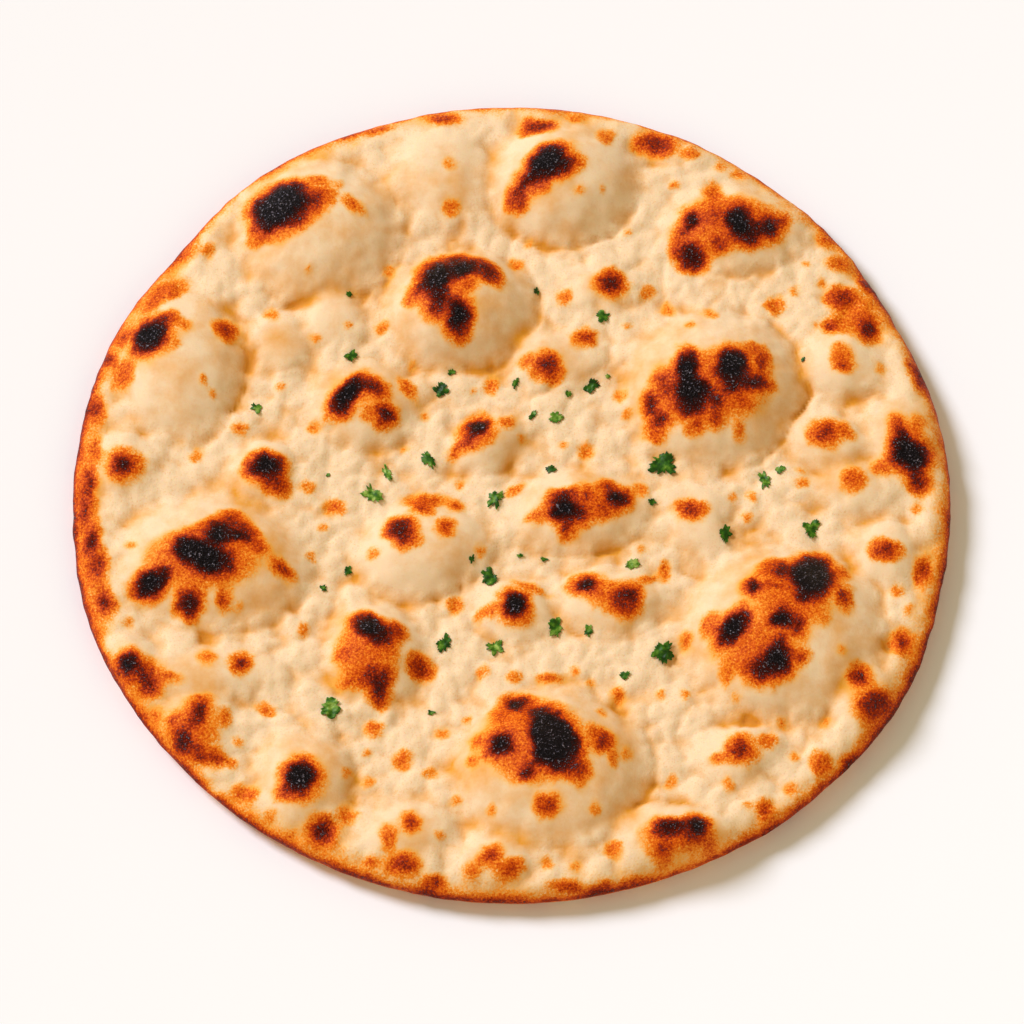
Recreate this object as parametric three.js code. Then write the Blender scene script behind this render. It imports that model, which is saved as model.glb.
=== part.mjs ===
// A round naan bread, blistered side up, with chopped herb flakes scattered over it.
// Millimetres, +Z up. The origin is the middle of the flat underside.
import * as THREE from "three";

// ---------------------------------------------------------------- driving dimensions
const breadWidth = 220; // left to right
const breadDepth = 218; // front to back
const sheetThickness = 8; // dough between the blisters
const tallestRise = 10; // how far the tallest blister stands above that
const rimHeight = 4; // height of the widest line of the rim
const rimRounding = 7; // how far in the rim's rounding reaches on top
const heelRounding = 5; // how far in it reaches underneath
const creaseSoftness = 1.6; // rounding where blisters meet each other and the sheet
const herbThickness = 0.5;
const restGap = 0.3; // between a flake and the crust it lies on

// How finely the crust is faceted.
const spokes = 96;
const crustRings = 27;
const roundingRings = 5;

// The lists below are laid out in millimetres on a bread of this size, and follow the
// driving dimensions when these change.
const layout = { width: 220, depth: 218, rise: 10 };
const scaleX = breadWidth / layout.width;
const scaleY = breadDepth / layout.depth;
const scaleRise = tallestRise / layout.rise;

// Where the hand-pulled outline leaves a true ellipse: degrees, part of the radius, spread in degrees.
const outlineBulges = [
  [29, -0.016, 14],
  [54, -0.006, 9],
  [123, 0.007, 9],
  [141, -0.014, 9],
  [-160, 0.009, 12],
  [-52, 0.008, 9],
  [-31, 0.018, 13],
];

// Blisters of the crust: x, y, half length, half width, turn in degrees, rise above the sheet.
const blisters = [
  // back row, left to right
  [-83, 36, 16, 21, 0, 6],
  [-48, 73, 21, 20, 0, 8],
  [-58, 42, 9, 9, 0, 3],
  [-45, 49, 9, 9, 0, 3],
  [-18, 88, 12, 15, 0, 4],
  [13, 86, 19, 17, 0, 8],
  [56, 73, 19, 12, 0, 5],
  // behind the middle
  [-37, 25, 15, 12, 0, 5],
  [-13, 51, 19, 17, 0, 9],
  [11, 38, 12, 9, 0, 3.5],
  [22, 57, 10, 8, 0, 2.5],
  [50, 30, 23, 22, 0, 10],
  [82, 36, 11, 10, 0, 4],
  [79, 15, 11, 8, 0, 3.5],
  [85, 3, 11, 8, 0, 3],
  [97, 16, 9, 16, 0, 3],
  // middle
  [-97, 9, 8, 9, 0, 3],
  [-62, 7, 9, 9, 0, 4],
  [-74, -18, 25, 19, 0, 7],
  [-22, -14, 18, 13, 15, 6],
  [-6, 15, 12, 8, 25, 4.5],
  [17, -4, 19, 12, 8, 5.5],
  [46, -6, 9, 11, 0, 3],
  [1, -31, 11, 9, 0, 4],
  [25, -29, 15, 10, 0, 4.5],
  [93, -15, 10, 10, 0, 3.5],
  // front row, left to right
  [-95, -46, 8, 9, 0, 3],
  [-75, -48, 20, 8, 0, 3],
  [-78, -62, 10, 12, 0, 3],
  [-52, -78, 13, 14, 0, 5],
  [-34, -43, 13, 15, 0, 6],
  [-27, -91, 13, 10, 0, 3.5],
  [-4, -98, 11, 8, 0, 3],
  [10, -74, 25, 22, 0, 9],
  [41, -92, 16, 9, 0, 4.5],
  [57, -70, 12, 8, 0, 3.5],
  [68, -37, 26, 24, 0, 9],
  [88, -55, 9, 10, 0, 3],
];

// Herb flakes: x, y, half length, half width, turn in degrees.
const flakes = [
  [-41, 55, 0.8, 0.7, 0],
  [-40, 38, 2, 1.5, 20],
  [-64, 24, 1.5, 1.2, -30],
  [-15, 34, 1, 0.8, 10],
  [-18, 29, 1.8, 1.3, -35],
  [23, 49, 2, 1.2, -25],
  [6, 56, 1.2, 0.6, 80],
  [1, 31, 1.2, 0.8, 75],
  [5, 22, 1.3, 1, 60],
  [14, 28, 0.8, 0.7, 0],
  [20, 30, 2.2, 1.7, 30],
  [24, 33, 0.6, 0.6, 0],
  [11, 21, 2.4, 1.6, 15],
  [-21, 10, 3, 1.3, -60],
  [-31, 7, 2.2, 0.8, -70],
  [-35, 1, 3, 2.6, -20],
  [-4, -1, 2.6, 1.7, 70],
  [10, 7, 1.5, 1.2, 10],
  [38, 9, 3.4, 2.9, 15],
  [35, -2, 1.2, 0.7, -15],
  [2, -16, 0.8, 0.7, 0],
  [8, -17, 0.9, 0.6, -20],
  [30, -19, 1.8, 1.5, 40],
  [-6, -22, 2.3, 2, 10],
  [-41, -20, 1.2, 1, 60],
  [-10, -18, 1, 0.6, 80],
  [-46, 6, 0.6, 0.6, 0],
  [-47, -25, 1, 0.9, 30],
  [11, -36, 2.3, 1.9, 80],
  [19, -37, 2, 1.3, 85],
  [-4, -41, 2, 1.7, -50],
  [-17, -40, 2.3, 2.1, 45],
  [38, -43, 2.8, 2.1, 60],
  [28, -49, 1.5, 1, 20],
  [-45, -58, 2.8, 2.4, 25],
  [-20, -59, 1, 0.8, -10],
  [63, 4, 3, 1.4, -75],
  [67, 7, 1.2, 0.9, 40],
  [53, -10, 2.8, 1.6, 75],
  [75, -9, 2.6, 1.7, 65],
  [73, 37, 0.6, 0.6, 0],
];
// The torn edge of a flake: how far each corner stands out from the middle.
const tornEdge = [1, 0.68, 0.94, 0.6, 0.97, 0.72, 0.86];

// ---------------------------------------------------------------- the crust's surface
// Radius of the outline at an angle, as a part of the ellipse's radius there.
function outlineAt(angle) {
  let part = 1;
  for (const [degrees, amount, spread] of outlineBulges) {
    const off = THREE.MathUtils.euclideanModulo(THREE.MathUtils.radToDeg(angle) - degrees + 180, 360) - 180;
    part += amount * Math.exp(-((off / spread) ** 2));
  }
  return part;
}

// The larger of two heights, with the crease between them rounded off.
function softMax(a, b) {
  const overlap = Math.max(creaseSoftness - Math.abs(a - b), 0) / creaseSoftness;
  return Math.max(a, b) + (overlap * overlap * creaseSoftness) / 4;
}

// Thickness of the bread at x, y, before its rim is rounded.
function thicknessAt(x, y) {
  let z = sheetThickness;
  for (const [cx, cy, halfLength, halfWidth, turn, rise] of blisters) {
    const a = THREE.MathUtils.degToRad(turn);
    const dx = x / scaleX - cx;
    const dy = y / scaleY - cy;
    const along = (dx * Math.cos(a) + dy * Math.sin(a)) / halfLength;
    const across = (dy * Math.cos(a) - dx * Math.sin(a)) / halfWidth;
    const away = Math.hypot(along, across);
    z = softMax(z, sheetThickness + rise * scaleRise * (1 - away ** 2.3));
  }
  return z;
}

// ---------------------------------------------------------------- the bread
// Half section of a plain disc with rounded edges: radius as a part of the outline, height.
function discSection() {
  const halfSpan = Math.min(breadWidth, breadDepth) / 2;
  const heel = heelRounding / halfSpan;
  const rounding = rimRounding / halfSpan;
  const section = [new THREE.Vector2(0, 0)];
  for (let i = 0; i <= roundingRings; i++) {
    const a = (i / roundingRings) * (Math.PI / 2);
    section.push(new THREE.Vector2(1 - heel + heel * Math.sin(a), rimHeight * (1 - Math.cos(a))));
  }
  for (let i = 1; i <= roundingRings; i++) {
    const a = (i / roundingRings) * (Math.PI / 2);
    const z = rimHeight + (sheetThickness - rimHeight) * Math.sin(a);
    section.push(new THREE.Vector2(1 - rounding + rounding * Math.cos(a), z));
  }
  for (let i = 1; i <= crustRings; i++)
    section.push(new THREE.Vector2((1 - rounding) * (1 - i / crustRings), sheetThickness));
  return section;
}

// The disc is pulled out to the hand-shaped outline, and all of it above its widest line is
// stretched upwards to the thickness that the bread has there.
function bakedBread() {
  const crust = new THREE.LatheGeometry(discSection(), spokes).rotateX(Math.PI / 2);
  const points = crust.attributes.position;
  const p = new THREE.Vector3();
  for (let i = 0; i < points.count; i++) {
    p.fromBufferAttribute(points, i);
    const pull = outlineAt(Math.atan2(p.y, p.x));
    p.x *= (pull * breadWidth) / 2;
    p.y *= (pull * breadDepth) / 2;
    if (p.z > rimHeight) {
      const stretch = (thicknessAt(p.x, p.y) - rimHeight) / (sheetThickness - rimHeight);
      p.z = rimHeight + (p.z - rimHeight) * stretch;
    }
    points.setXYZ(i, p.x, p.y, p.z);
  }
  crust.computeVertexNormals();
  const material = new THREE.MeshStandardMaterial({ color: 0xe3b77c, roughness: 0.75, metalness: 0 });
  const bread = new THREE.Mesh(crust, material);
  bread.name = "bread";
  return bread;
}

// ---------------------------------------------------------------- the herb flakes
// Direction that the crust faces at x, y.
function crustNormal(x, y) {
  const step = 1.5;
  const slopeX = (thicknessAt(x + step, y) - thicknessAt(x - step, y)) / (2 * step);
  const slopeY = (thicknessAt(x, y + step) - thicknessAt(x, y - step)) / (2 * step);
  return new THREE.Vector3(-slopeX, -slopeY, 1).normalize();
}

// A flat scrap of leaf with a torn edge. The edge starts at another corner on each flake.
function leafScrap(halfLength, halfWidth, firstCorner) {
  const corners = tornEdge.map((_, i) => {
    const a = (i / tornEdge.length) * 2 * Math.PI;
    const reach = tornEdge[(i + firstCorner) % tornEdge.length];
    return new THREE.Vector2(halfLength * reach * Math.cos(a), halfWidth * reach * Math.sin(a));
  });
  return new THREE.ExtrudeGeometry(new THREE.Shape(corners), { depth: herbThickness, bevelEnabled: false });
}

// Least height of a flake's points above the crust, straight down.
function clearance(flake, bread) {
  const down = new THREE.Raycaster();
  const point = new THREE.Vector3();
  const corners = flake.geometry.attributes.position;
  let least = Infinity;
  for (let i = 0; i < corners.count; i++) {
    point.fromBufferAttribute(corners, i).applyMatrix4(flake.matrixWorld);
    down.set(new THREE.Vector3(point.x, point.y, 100), new THREE.Vector3(0, 0, -1));
    const hit = down.intersectObject(bread)[0];
    if (hit) least = Math.min(least, point.z - hit.point.z);
  }
  return least;
}

// Lays flake number i on the crust, tilted as the crust is there.
function herbFlake([x, y, halfLength, halfWidth, turn], i, bread) {
  const material = new THREE.MeshStandardMaterial({ color: 0x2f5f16, roughness: 0.55, metalness: 0 });
  const flake = new THREE.Mesh(leafScrap(halfLength, halfWidth, i), material);
  flake.name = "herb_flake_" + String(i + 1).padStart(2, "0");
  const normal = crustNormal(x * scaleX, y * scaleY);
  flake.quaternion.setFromUnitVectors(new THREE.Vector3(0, 0, 1), normal);
  flake.rotateZ(THREE.MathUtils.degToRad(turn));
  flake.position.set(x * scaleX, y * scaleY, thicknessAt(x * scaleX, y * scaleY));
  flake.updateMatrixWorld();
  flake.position.z += restGap - clearance(flake, bread);
  return flake;
}

// ---------------------------------------------------------------- assembly
const naan = new THREE.Group();
naan.name = "naan_bread";
const bread = bakedBread();
naan.add(bread);
flakes.forEach((flake, i) => naan.add(herbFlake(flake, i, bread)));

export default naan;
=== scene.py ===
# %% [markdown]
# # A round naan bread
# A naan is a soft disc of dough slapped against the wall of a very hot oven. Steam lifts its skin into
# blisters, and the blisters, being nearest to the heat, scorch first. This lesson builds one on top of a
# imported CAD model: the CAD bread gives the size and the place, and Blender adds the fine crust, the
# scorch marks and the chopped herb that was scattered over it.

# %% Load the frame
import math
import bmesh
import bpy
import numpy as np
from mathutils import Matrix, Vector, noise
from mathutils.bvhtree import BVHTree


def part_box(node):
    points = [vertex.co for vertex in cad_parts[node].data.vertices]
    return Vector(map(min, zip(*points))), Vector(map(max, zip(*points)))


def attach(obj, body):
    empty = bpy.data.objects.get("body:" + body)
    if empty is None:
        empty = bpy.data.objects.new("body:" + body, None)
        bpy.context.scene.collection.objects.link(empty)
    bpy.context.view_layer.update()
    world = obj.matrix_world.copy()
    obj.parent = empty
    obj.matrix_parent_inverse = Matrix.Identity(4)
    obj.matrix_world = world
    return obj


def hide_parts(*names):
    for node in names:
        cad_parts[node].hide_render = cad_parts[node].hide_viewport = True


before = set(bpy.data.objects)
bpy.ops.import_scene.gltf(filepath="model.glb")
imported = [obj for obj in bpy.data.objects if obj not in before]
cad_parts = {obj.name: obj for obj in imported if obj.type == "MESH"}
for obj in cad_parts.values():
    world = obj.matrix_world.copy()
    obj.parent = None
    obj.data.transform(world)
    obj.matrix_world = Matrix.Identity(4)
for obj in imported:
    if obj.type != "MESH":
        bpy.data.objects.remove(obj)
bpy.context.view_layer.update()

# %% [markdown]
# ## Measures
# All places on the bread are laid out in millimetres on a bread 220 mm wide, 218 mm deep and 18 mm thick,
# x to the right, y to the back, from the middle of the underside. One scale per axis, taken from the CAD
# bread's own box, turns them into metres, so the layout follows the CAD when its size changes.

# %% Scales from the CAD bread
LAYOUT = (110.0, 109.0, 18.0)  # half width, half depth and thickness of the layout, in mm
low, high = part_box("bread")
SCALE = np.array([
    (high[0] - low[0]) / 2 / LAYOUT[0],
    (high[1] - low[1]) / 2 / LAYOUT[1],
    (high[2] - low[2]) / LAYOUT[2],
])
CENTRE = np.array([(high[0] + low[0]) / 2, (high[1] + low[1]) / 2, low[2]])
print("metres to a layout millimetre:", SCALE)


# %% [markdown]
# ## A flat sheet to start from
# A disc made as a fan of slices has needle-thin faces at its middle, which shade badly. Here a square grid
# is bulged into a rounded square for the middle, and rings are extruded from its border until they reach
# a true circle, so every face stays nearly square. The sheet is made flat first, because a flat sheet is
# also the best pattern to unwrap: its positions become the texture layout before it is raised.

# %% One flat round sheet
CORE = 0.62  # half size of the rounded square, as a part of the sheet's radius


def circle_turn(a, b):
    """Where a point of a square's border goes on a circle, as an angle, evenly spaced."""
    if abs(a) >= abs(b):
        return math.pi / 4 * b / a + (math.pi if a < 0 else 0) if a else 0.0
    return math.pi / 2 - math.pi / 4 * a / b + (math.pi if b < 0 else 0)


def flat_sheet(bm, cells, rings):
    """Adds a flat disc of radius 1 to bm and returns its vertices and its outermost edges."""
    verts = bmesh.ops.create_grid(bm, x_segments=cells, y_segments=cells, size=1.0)["verts"]
    border = [e for v in verts for e in v.link_edges if e.is_boundary]
    border = list(dict.fromkeys(border))
    turn = bm.verts.layers.float["turn"]
    for v in verts:
        a, b = v.co.x, v.co.y
        v[turn] = circle_turn(a, b)
        v.co = Vector((a * math.sqrt(1 - b * b / 4), b * math.sqrt(1 - a * a / 4), 0)) * CORE
    for i in range(rings):
        new = bmesh.ops.extrude_edge_only(bm, edges=border)["geom"]
        outer = [g for g in new if isinstance(g, bmesh.types.BMVert)]
        for v in outer:
            rim = Vector((math.cos(v[turn]), math.sin(v[turn]), 0))
            v.co += (rim - v.co) / (rings - i)
        ends = set(outer)
        border = [g for g in new if isinstance(g, bmesh.types.BMEdge) and set(g.verts) <= ends]
        verts += outer
    return verts, border


# %% [markdown]
# The crust needs fine faces, because its blisters and lumps are real shape. The underside is nearly flat,
# so its sheet has half as many cells each way. The two sheets are bridged edge to edge into one closed
# skin. Each sheet keeps its own island in the texture layout, the crust's as large as fits.

# %% Join a crust sheet and an underside sheet
CRUST_CELLS, CRUST_RINGS = 180, 44
UNDERSIDE_CELLS, UNDERSIDE_RINGS = 90, 20
LAST_HEEL_RING = 0.985  # the underside's outermost ring stays just short of the rim's widest line
CRUST_ISLAND = (0.445, 0.445, 0.44)  # middle and radius in the texture layout
UNDERSIDE_ISLAND = (0.862, 0.862, 0.13)

bm = bmesh.new()
bm.verts.layers.float.new("turn")
crust_verts, crust_edges = flat_sheet(bm, CRUST_CELLS, CRUST_RINGS)
crust_faces = list(bm.faces)
under_verts, under_edges = flat_sheet(bm, UNDERSIDE_CELLS, UNDERSIDE_RINGS)
under_faces = [f for v in under_verts for f in v.link_faces]
bmesh.ops.reverse_faces(bm, faces=list(dict.fromkeys(under_faces)))
bmesh.ops.scale(bm, vec=(LAST_HEEL_RING, LAST_HEEL_RING, 1), verts=under_verts)
bmesh.ops.bridge_loops(bm, edges=crust_edges + under_edges)
bm.normal_update()

layout = bm.loops.layers.uv.new("OFBake")
on_crust = set(crust_faces)
for face in bm.faces:
    u, v, radius = CRUST_ISLAND if face in on_crust else UNDERSIDE_ISLAND
    for loop in face.loops:
        loop[layout].uv = (u + radius * loop.vert.co.x, v + radius * loop.vert.co.y)

skin = bpy.data.meshes.new("bread_skin")
for v in crust_verts:
    v.co.z = 1  # marks the crust's sheet until it is raised
bm.to_mesh(skin)
bm.free()
print("flat skin:", len(skin.vertices), "points,", len(skin.polygons), "faces")

# %% [markdown]
# ## The outline and the rim
# The dough was pulled by hand, so its outline leaves a true ellipse by up to two millimetres here and
# there. Both edges of the sheet are then rounded: the crust falls over the rim in a quarter of an
# ellipse, and the underside curls up to meet it at the widest line.

# %% Where each point of the sheets lies, seen from above
OUTLINE_BULGES = [  # degrees, part of the radius, spread in degrees
    (29, -0.016, 14), (54, -0.006, 9), (123, 0.007, 9), (141, -0.014, 9),
    (-160, 0.009, 12), (-52, 0.008, 9), (-31, 0.018, 13),
]
RIM_ROUNDING, RIM_ARC = 7.0, 8.8  # how far in the crust starts to fall, and the fall's length, in mm
HEEL_ROUNDING, HEEL_ARC = 5.0, 7.1  # how far in the underside leaves the table, and its curl's length
RIM_LINE = 4.0  # height of the widest line
EDGE_TRIM = 0.997  # keeps the lumpy rim inside the CAD outline


def grain(x, y, size, seed, octaves=2):
    """Smooth noise from about -1 to 1, with lumps of the given size. The seed may be one per point."""
    seeds = np.broadcast_to(seed, x.shape)
    return np.array([
        noise.fractal((a / size, b / size, c), 1.0, 2.0, octaves) for a, b, c in zip(x, y, seeds)
    ])


def near_angle(degrees, middle, spread):
    """1 at the middle angle, falling to 0 over the spread."""
    return np.exp(-(((degrees - middle + 180) % 360 - 180) / spread) ** 2)


points = np.array([v.co for v in skin.vertices])
is_crust = points[:, 2] > 0.5
flat_reach = np.hypot(points[:, 0], points[:, 1])
degrees = np.degrees(np.arctan2(points[:, 1], points[:, 0]))

edge = np.where(is_crust, RIM_ROUNDING, HEEL_ROUNDING) / LAYOUT[0]
arc = np.where(is_crust, RIM_ARC, HEEL_ARC) / LAYOUT[0]
flat_edge = (1 - edge) / (1 - edge + arc)  # where the rounding starts on the flat sheet
bend = np.clip((flat_reach - flat_edge) / (1 - flat_edge), 0, 1) * math.pi / 2
reach = np.where(bend > 0, 1 - edge + edge * np.sin(bend), flat_reach / flat_edge * (1 - edge))
crown = np.cos(bend)  # 1 on the flat of a sheet, 0 at the widest line

outline = EDGE_TRIM * (1 + sum(part * near_angle(degrees, a, spread) for a, part, spread in OUTLINE_BULGES))
ray = np.radians(degrees)
x = LAYOUT[0] * reach * outline * np.cos(ray)
y = LAYOUT[1] * reach * outline * np.sin(ray)
print("outline from", round(outline.min(), 3), "to", round(outline.max(), 3))

# %% [markdown]
# ## Blisters
# Each blister is a dome that steam has lifted. Domes are joined with a soft maximum: the higher one wins,
# and where two meet, a rounded crease is left, as where two bubbles of dough press together. A foot can
# also have a pinched groove on one side, which gives the crisp dark line seen beside the biggest ones. No
# blister is a perfect oval, so the place where the domes are looked up is first pushed about by noise.

# %% The list of blisters
SHEET = 8.0  # thickness of the dough between the blisters
BLISTERS = [  # x, y, half length, half width, turn, rise, depth of its pinched foot, side of the pinch
    # back row, left to right
    (-83, 36, 16, 21, 0, 6, 1.0, -20),
    (-48, 73, 21, 20, 0, 8, 0.9, -45),
    (-58, 42, 9, 9, 0, 3, 0, 0),
    (-45, 49, 9, 9, 0, 3, 0, 0),
    (-18, 88, 12, 15, 0, 4, 0, 0),
    (13, 86, 19, 17, 0, 8, 1.8, -90),
    (56, 73, 19, 12, 0, 5, 0.8, -80),
    # behind the middle
    (-37, 25, 15, 12, 0, 5, 0.5, -90),
    (-13, 51, 19, 17, 0, 9, 1.3, -30),
    (11, 38, 12, 9, 0, 3.5, 0, 0),
    (22, 57, 10, 8, 0, 2.5, 0, 0),
    (50, 30, 23, 22, 0, 10, 1.8, 0),
    (82, 36, 11, 10, 0, 4, 0.8, -60),
    (79, 15, 11, 8, 0, 3.5, 0, 0),
    (85, 3, 11, 8, 0, 3, 0, 0),
    (97, 16, 9, 16, 0, 3, 0, 0),
    # middle
    (-97, 9, 8, 9, 0, 3, 0, 0),
    (-62, 7, 9, 9, 0, 4, 0, 0),
    (-74, -18, 25, 19, 0, 7, 1.2, -80),
    (-22, -14, 18, 13, 15, 6, 1.0, -80),
    (-6, 15, 12, 8, 25, 4.5, 0.5, -80),
    (17, -4, 19, 12, 8, 5.5, 1.0, -75),
    (46, -6, 9, 11, 0, 3, 0, 0),
    (1, -31, 11, 9, 0, 4, 0.5, -90),
    (25, -29, 15, 10, 0, 4.5, 0.8, -70),
    (93, -15, 10, 10, 0, 3.5, 0.8, 80),
    # front row, left to right
    (-95, -46, 8, 9, 0, 3, 0, 0),
    (-75, -48, 20, 8, 0, 3, 0, 0),
    (-78, -62, 10, 12, 0, 3, 0, 0),
    (-52, -78, 13, 14, 0, 5, 0.5, -60),
    (-34, -43, 13, 15, 0, 6, 0.5, -60),
    (-27, -91, 13, 10, 0, 3.5, 0, 0),
    (-4, -98, 11, 8, 0, 3, 0, 0),
    (10, -74, 25, 22, 0, 9, 0.8, -20),
    (41, -92, 16, 9, 0, 4.5, 1.0, 110),
    (57, -70, 12, 8, 0, 3.5, 0, 0),
    (68, -37, 26, 24, 0, 9, 1.2, 20),
    (88, -55, 9, 10, 0, 3, 0, 0),
]
print(len(BLISTERS), "blisters")

# %% The shape of one blister
CREASE = 1.6  # rounding where two heights meet, in mm
DOME_POWER = 2.3  # a little over 2: flatter on top and steeper at the foot than a plain dome
GROOVE_FOOT = 1.04  # a pinched groove runs just outside the foot, which is at 1
GROOVE_DEPTH = 0.42  # in mm, for a pinch of 1
GROOVE_ABOVE, GROOVE_REACH = 0.6, 1.6  # it cuts only near this height above the blister's own foot, in mm


def soft_max(a, b):
    """The higher of two heights, rounded where they are nearly the same."""
    overlap = np.maximum(CREASE - np.abs(a - b), 0) / CREASE
    return np.maximum(a, b) + overlap**2 * CREASE / 4


def way_out(x, y, cx, cy, half_length, half_width, turn):
    """How far out each point lies on a turned oval: 0 in its middle, 1 on its edge."""
    a = math.radians(turn)
    dx, dy = x - cx, y - cy
    along = (dx * math.cos(a) + dy * math.sin(a)) / half_length
    across = (dy * math.cos(a) - dx * math.sin(a)) / half_width
    return np.hypot(along, across)


def dome(x, y, blister):
    """Height of one blister's dome, which sinks below the sheet past its foot, and how far out a point is."""
    away = way_out(x, y, *blister[:5])
    return SHEET + blister[5] * (1 - away**DOME_POWER), away


# %% Raise the blisters
def thickness(x, y):
    """Thickness of the bread before its rim is rounded, without the fine crumb."""
    z = np.full(x.shape, SHEET)
    for blister in BLISTERS:
        z = soft_max(z, dome(x, y, blister)[0])
    for blister in BLISTERS:
        cx, cy, half_length, half_width, turn, rise, pinch, side = blister
        if not pinch:
            continue
        height, away = dome(x, y, blister)
        past_foot = (away - GROOVE_FOOT) * math.sqrt(half_length * half_width)  # in mm
        facing = np.clip(np.cos(np.arctan2(y - cy, x - cx) - math.radians(side)), 0, 1)
        at_surface = np.exp(-(((z - height - GROOVE_ABOVE) / GROOVE_REACH) ** 2))
        z = z - GROOVE_DEPTH * pinch * facing * at_surface * np.exp(-(past_foot**2))
    return z


def pushed(axis, *layers):
    """A coordinate pushed about by layers of noise, each given as how far, lump size and seed, in mm."""
    for far, size, seed in layers:
        axis = axis + far * grain(x, y, size, seed)
    return axis


warp_x = pushed(x, (1.4, 17, 3.1), (0.6, 5, 3.9))
warp_y = pushed(y, (1.4, 17, 8.7), (0.6, 5, 8.1))
z_top = thickness(warp_x, warp_y)
print("thickness from", round(z_top[is_crust].min(), 1), "to", round(z_top[is_crust].max(), 1), "mm")

# %% [markdown]
# ## Crumb
# Between the blisters the crust is not smooth: it is a mass of soft lumps three to seven millimetres wide,
# with slow swells under them. On the blisters the skin is stretched, so the lumps fade there. The lumps
# are the rounded cells of a Voronoi pattern, and the swells are plain noise. With the crumb in place, the
# sheets are bent down and up at the rim, and every point goes from millimetres into the frame.

# %% Add swells and lumps
LUMPS = ((0.8, 6.5, 2.0), (0.42, 3.1, 3.0))  # height, size and seed of each layer, in mm
SWELLS = ((0.9, 24, 4.4), (0.5, 8, 6.2))
FULLY_STRETCHED = 3.0  # a blister's skin is stretched smooth from this height above the sheet, in mm
LUMP_LOSS, SWELL_LOSS = 0.88, 0.6  # the part of each that a stretched skin loses
HEADROOM = 0.1  # the top stays this far under the layout's thickness, in mm


def cells(x, y, size, seed):
    """Soft curds: 1 at a curd's middle, falling ever faster to about 0 where it meets the next."""
    return np.array([
        1 - 2.0 * noise.voronoi((a / size, b / size, seed))[0][0] ** 2 for a, b in zip(x, y)
    ])


lift = np.clip((z_top - SHEET) / FULLY_STRETCHED, 0, 1)
skin_of_blister = lift * lift * (3 - 2 * lift)  # 1 where the skin is stretched
push_x, push_y = pushed(x, (1.2, 5, 1.3)), pushed(y, (1.2, 5, 5.9))
lumps = sum(height * cells(push_x, push_y, size, seed) for height, size, seed in LUMPS)
swell = sum(height * grain(x, y, size, seed) for height, size, seed in SWELLS)
z_top = z_top + swell * (1 - SWELL_LOSS * skin_of_blister) + lumps * (1 - LUMP_LOSS * skin_of_blister)
z_top = np.minimum(z_top, LAYOUT[2] - HEADROOM)
print("crumb lumps to", round(float(np.abs(lumps).max()), 2), "mm")

# %% Round the rim and the underside
RIM_WAVE = 0.5  # how much the widest line rises and falls on its way round, in mm
RIM_LUMPS = 0.35  # how far the rim's side is lumpy
UNDERSIDE_PITS = 0.35  # how deep the underside's pits are

on_ring = np.cos(ray) * 30, np.sin(ray) * 30  # noise read on a ring meets itself after one round
rim_line = RIM_LINE + RIM_WAVE * grain(*on_ring, 9, 2.2)
under_relief = UNDERSIDE_PITS * np.clip(grain(x, y, 9, 12.5, 3), 0, 1)
crust_z = rim_line + (z_top - rim_line) * crown
under_z = rim_line * (1 - crown) + under_relief * crown
z = np.where(is_crust, crust_z, under_z)
rim_lumps = RIM_LUMPS * grain(x, y, 5, 14.0) * (1 - crown)
x = x + rim_lumps * np.cos(ray)
y = y + rim_lumps * np.sin(ray)
place = np.column_stack([x, y, z]) * SCALE + CENTRE
skin.vertices.foreach_set("co", place.ravel())
skin.update()
print("bread from", place.min(0).round(4), "to", place.max(0).round(4))

# %% [markdown]
# ## Scorch marks
# Heat marks a naan unevenly: black on the tops of the blisters, then a quick change through brown and
# orange to pale dough, with small freckles between. All marks are put in one map of how much each point
# was toasted, from 0 for raw cream to over 1 for char. One colour ramp then colours the whole map, so the
# order of the colours is right everywhere. The lists give x, y, half length, half width and turn.

# %% Marks on the back half
CHAR = [
    # back left and back middle
    (-60, 76.6, 4.8, 5, 0), (-56.4, 79, 4.2, 4.4, 30), (-91, 42.4, 3.5, 4.5, -22),
    (8.4, 88.8, 4.8, 3.2, 42), (-18.8, 57.2, 3.6, 5, -8), (-13, 59.8, 2.8, 2.5, 0),
    (-13.6, 46.6, 2.5, 3.5, 0), (-40.8, 26.8, 5.2, 2.3, 48), (-61.6, 7.4, 2.8, 2.5, 0),
    (-8.4, 18, 1.4, 2, -20),
    # back right
    (56.9, 73.6, 2.9, 4.2, 8), (45, 74.4, 1.7, 2, 0), (64.8, 72.8, 1.5, 2, 0), (43.8, 31, 2.9, 4.6, 0),
    (45, 25.2, 4.4, 3.8, 0), (55, 31.8, 3.5, 4.5, 0), (99.6, 10.8, 4.7, 3.9, -35),
]
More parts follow.
